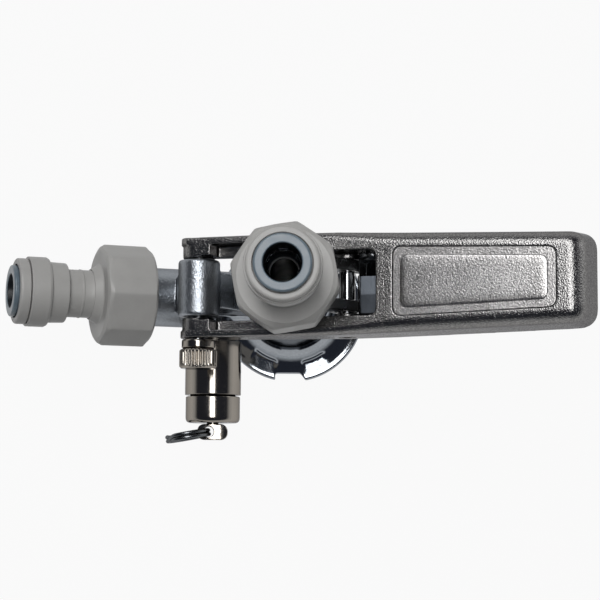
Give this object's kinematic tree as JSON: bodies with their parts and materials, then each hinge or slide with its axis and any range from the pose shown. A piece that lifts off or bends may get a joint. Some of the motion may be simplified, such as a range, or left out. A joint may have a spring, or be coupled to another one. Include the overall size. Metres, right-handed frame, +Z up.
{
  "type": "keg coupler",
  "caption": "Keg coupler with a bayonet flange, a forked lever that drives the probe, push-fit gas and beer adaptors and a relief valve with a pull ring.",
  "frame": {"origin": "middle of the bayonet flange's underside, which sits on the keg neck", "axes": "+Z up the probe's axis towards the beer outlet, +X along the lever, -X towards the gas inlet, -Y towards the relief valve"},
  "size_m": [0.1773, 0.0697, 0.1234],
  "materials": {
    "satin_casting": "satin-chromed casting with fine grain",
    "polished_casting": "polished chrome",
    "chrome": "polished chrome",
    "nickel": "bright nickel plate",
    "steel": "bright steel",
    "stainless": "satin stainless steel",
    "grey_acetal": "matte grey moulding",
    "blue_grey_acetal": "dark blue-grey moulding",
    "rubber": "black rubber"
  },
  "bodies": {
    "coupler": {"coupler_body": "polished_casting", "base_seal": "rubber", "guide_seal_1": "rubber", "guide_seal_2": "rubber", "gas_check_valve": "rubber", "gas_seal_washer": "rubber", "gas_nut": "grey_acetal", "gas_adaptor_body": "grey_acetal", "gas_tube_seal": "rubber", "gas_backing_ring": "grey_acetal", "gas_cap": "grey_acetal", "relief_housing": "nickel", "relief_cap": "nickel", "relief_spring": "steel", "hinge_pin": "chrome", "hinge_spacer": "chrome", "hinge_nut": "chrome"},
    "gas_collet": {"gas_collet": "blue_grey_acetal"},
    "relief_stem": {"relief_stem": "nickel", "relief_seal": "rubber"},
    "pull_ring": {"pull_ring": "steel"},
    "lever": {"handle": "satin_casting", "label_plate": "satin_casting", "cross_pin": "chrome"},
    "lock": {"lock_slider": "chrome"},
    "probe": {"probe": "stainless", "probe_nose": "stainless", "probe_seal": "rubber", "ball_stop": "stainless", "beer_seal_washer": "rubber", "beer_nut": "grey_acetal", "beer_adaptor_body": "grey_acetal", "beer_tube_seal": "rubber", "beer_backing_ring": "grey_acetal", "beer_cap": "grey_acetal"},
    "check_ball": {"check_ball": "steel"},
    "beer_collet": {"beer_collet": "blue_grey_acetal"}
  },
  "joints": [
    {"name": "lever_hinge", "type": "hinge", "parent": "coupler", "child": "lever", "pos_m": [-0.0267, 0, 0.0596], "axis": [0, 1, 0], "range_deg": [0, 19]},
    {"name": "probe_slide", "type": "slide", "parent": "coupler", "child": "probe", "axis": [0, 0, -1], "range_m": [0, 0.01495]},
    {"name": "lock_slide", "type": "slide", "parent": "lever", "child": "lock", "axis": [0, 1, 0], "range_m": [0, 0.0043]},
    {"name": "gas_collet_press", "type": "slide", "parent": "coupler", "child": "gas_collet", "axis": [0.9336, 0, -0.3584], "range_m": [0, 0.0011]},
    {"name": "beer_collet_press", "type": "slide", "parent": "probe", "child": "beer_collet", "axis": [0, 0, -1], "range_m": [0, 0.0011]},
    {"name": "relief_pull", "type": "slide", "parent": "coupler", "child": "relief_stem", "axis": [0, -1, 0], "range_m": [0, 0.0022], "stiffness_N_per_m": 800, "springref_m": -0.001, "deforming": ["relief_spring"]},
    {"name": "ring_swing", "type": "hinge", "parent": "relief_stem", "child": "pull_ring", "pos_m": [-0.0253, -0.04205, 0.02925], "axis": [0, 0, 1], "range_deg": [-6, 150]},
    {"name": "ball_lift", "type": "slide", "parent": "probe", "child": "check_ball", "axis": [0, 0, 1], "range_m": [0, 0.003]}
  ],
  "couplings": [
    {"joint": "probe_slide", "follows": "lever_hinge", "m_per_rad": 0.044848}
  ]
}
